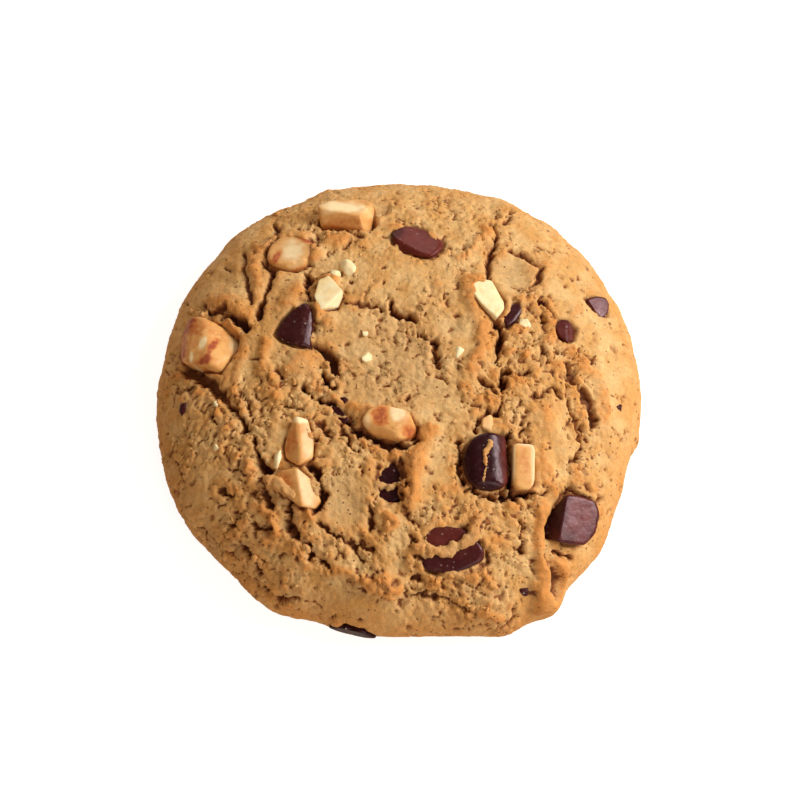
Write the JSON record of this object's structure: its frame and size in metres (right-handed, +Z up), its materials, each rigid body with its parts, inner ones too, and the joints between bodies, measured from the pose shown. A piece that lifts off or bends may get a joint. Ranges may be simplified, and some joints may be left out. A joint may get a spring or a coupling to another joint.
{
  "type": "chocolate chunk and nut cookie",
  "caption": "Thick round drop cookie with a cracked, domed top, dark chocolate chunks and chopped roasted nuts set in the dough, and a flat base to rest on.",
  "frame": {"origin": "centre of the flat base, on the surface that the cookie rests on", "axes": "+Z up out of the base; +Y towards the far edge as pictured; +X to the right as pictured"},
  "size_m": [0.0922, 0.0925, 0.021],
  "materials": {
    "dough": "dry baked crumb, golden brown, with fine dark specks",
    "chocolate": "dark chocolate, satin, with pale bloom on its edges",
    "roasted_nut": "roasted nut flesh, satin, browned at the edges",
    "pale_nut": "pale cream nut flesh, satin"
  },
  "bodies": {
    "root": {"dough": "dough", "chocolate_back": "chocolate", "chocolate_left": "chocolate", "chocolate_crack": "chocolate", "chocolate_right": "chocolate", "chocolate_rim": "chocolate", "chocolate_large": "chocolate", "chocolate_side": "chocolate", "chocolate_front": "chocolate", "chocolate_buried": "chocolate", "chocolate_sliver": "chocolate", "chocolate_foot": "chocolate", "nut_back": "roasted_nut", "nut_round": "roasted_nut", "nut_toasted": "roasted_nut", "nut_middle": "roasted_nut", "nut_left": "roasted_nut", "nut_wedge": "roasted_nut", "nut_block": "roasted_nut", "nut_pale_left": "pale_nut", "nut_pale_right": "pale_nut"}
  },
  "joints": []
}
